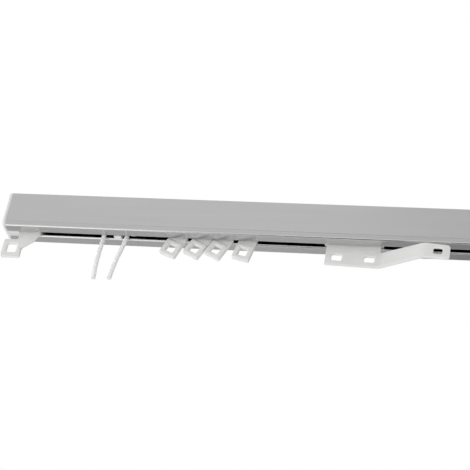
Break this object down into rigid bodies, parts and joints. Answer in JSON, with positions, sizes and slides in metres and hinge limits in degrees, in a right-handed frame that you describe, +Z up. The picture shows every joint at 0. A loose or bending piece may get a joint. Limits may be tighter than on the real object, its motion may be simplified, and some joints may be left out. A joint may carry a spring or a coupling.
{
  "type": "corded curtain track",
  "caption": "Aluminium curtain track with a slot underneath, white gliders, an end stop, a cord-drawn master carrier with a joggled overlap arm, and hanging draw cords.",
  "frame": {"origin": "middle of the top face, at the mouth of the clip groove, half way along the track", "axes": "+X along the track towards the return end, +Y from the front face to the back, +Z up"},
  "size_m": [0.6042, 0.0262, 0.0563],
  "materials": {
    "anodised_aluminium": "satin anodised",
    "white_nylon": "moulded, fine matt",
    "acetal_works": "moulded, smooth",
    "steel_pin": "ground",
    "cord_fibre": "braided"
  },
  "bodies": {
    "track": {"track_profile": "anodised_aluminium", "left_end_cap": "white_nylon", "right_end_cap": "white_nylon", "end_stop": "white_nylon", "drop_pulley_block": "acetal_works", "drop_axle_left": "steel_pin", "drop_axle_right": "steel_pin", "return_pulley_block": "acetal_works", "return_axle": "steel_pin", "draw_cord": "cord_fibre", "cord_tail_left": "cord_fibre", "cord_tail_right": "cord_fibre"},
    "left_drop_wheel": {"drop_pulley_left": "acetal_works"},
    "right_drop_wheel": {"drop_pulley_right": "acetal_works"},
    "return_wheel": {"return_pulley": "acetal_works"},
    "master_carrier": {"overlap_arm": "white_nylon", "carrier_runner": "acetal_works", "carrier_axle_left": "steel_pin", "carrier_axle_right": "steel_pin", "cord_clamp_screw": "steel_pin"},
    "roller_1": {"carrier_wheel_1": "acetal_works"},
    "roller_2": {"carrier_wheel_2": "acetal_works"},
    "roller_3": {"carrier_wheel_3": "acetal_works"},
    "roller_4": {"carrier_wheel_4": "acetal_works"},
    "first_glider": {"glider_1": "white_nylon"},
    "second_glider": {"glider_2": "white_nylon"},
    "third_glider": {"glider_3": "white_nylon"},
    "fourth_glider": {"glider_4": "white_nylon"}
  },
  "joints": [
    {"name": "carrier_draw", "type": "slide", "parent": "track", "child": "master_carrier", "axis": [1, 0, 0], "range_m": [-0.008, 0.33]},
    {"name": "first_glider_slide", "type": "slide", "parent": "track", "child": "first_glider", "axis": [1, 0, 0], "range_m": [-0.015, 0.006]},
    {"name": "second_glider_slide", "type": "slide", "parent": "first_glider", "child": "second_glider", "axis": [1, 0, 0], "range_m": [0, 0.008]},
    {"name": "third_glider_slide", "type": "slide", "parent": "second_glider", "child": "third_glider", "axis": [1, 0, 0], "range_m": [0, 0.008]},
    {"name": "fourth_glider_slide", "type": "slide", "parent": "third_glider", "child": "fourth_glider", "axis": [1, 0, 0], "range_m": [0, 0.008]},
    {"name": "left_drop_wheel_spin", "type": "hinge", "parent": "track", "child": "left_drop_wheel", "pos_m": [-0.23242, 0, -0.01137], "axis": [0, 1, 0], "continuous": true},
    {"name": "right_drop_wheel_spin", "type": "hinge", "parent": "track", "child": "right_drop_wheel", "pos_m": [-0.21723, 0, -0.01812], "axis": [0, 1, 0], "continuous": true},
    {"name": "return_wheel_spin", "type": "hinge", "parent": "track", "child": "return_wheel", "pos_m": [0.28403, 0, -0.01137], "axis": [0, 1, 0], "continuous": true},
    {"name": "roller_1_spin", "type": "hinge", "parent": "master_carrier", "child": "roller_1", "pos_m": [-0.0886, -0.00535, -0.0213], "axis": [0, 1, 0], "continuous": true},
    {"name": "roller_2_spin", "type": "hinge", "parent": "master_carrier", "child": "roller_2", "pos_m": [-0.0886, 0.00535, -0.0213], "axis": [0, 1, 0], "continuous": true},
    {"name": "roller_3_spin", "type": "hinge", "parent": "master_carrier", "child": "roller_3", "pos_m": [-0.0632, -0.00535, -0.0213], "axis": [0, 1, 0], "continuous": true},
    {"name": "roller_4_spin", "type": "hinge", "parent": "master_carrier", "child": "roller_4", "pos_m": [-0.0632, 0.00535, -0.0213], "axis": [0, 1, 0], "continuous": true}
  ],
  "couplings": [
    {"joint": "left_drop_wheel_spin", "follows": "carrier_draw", "rad_per_m": -296.3},
    {"joint": "right_drop_wheel_spin", "follows": "carrier_draw", "rad_per_m": 296.3},
    {"joint": "return_wheel_spin", "follows": "carrier_draw", "rad_per_m": -296.3},
    {"joint": "roller_1_spin", "follows": "carrier_draw", "rad_per_m": 434.78},
    {"joint": "roller_2_spin", "follows": "carrier_draw", "rad_per_m": 434.78},
    {"joint": "roller_3_spin", "follows": "carrier_draw", "rad_per_m": 434.78},
    {"joint": "roller_4_spin", "follows": "carrier_draw", "rad_per_m": 434.78}
  ]
}
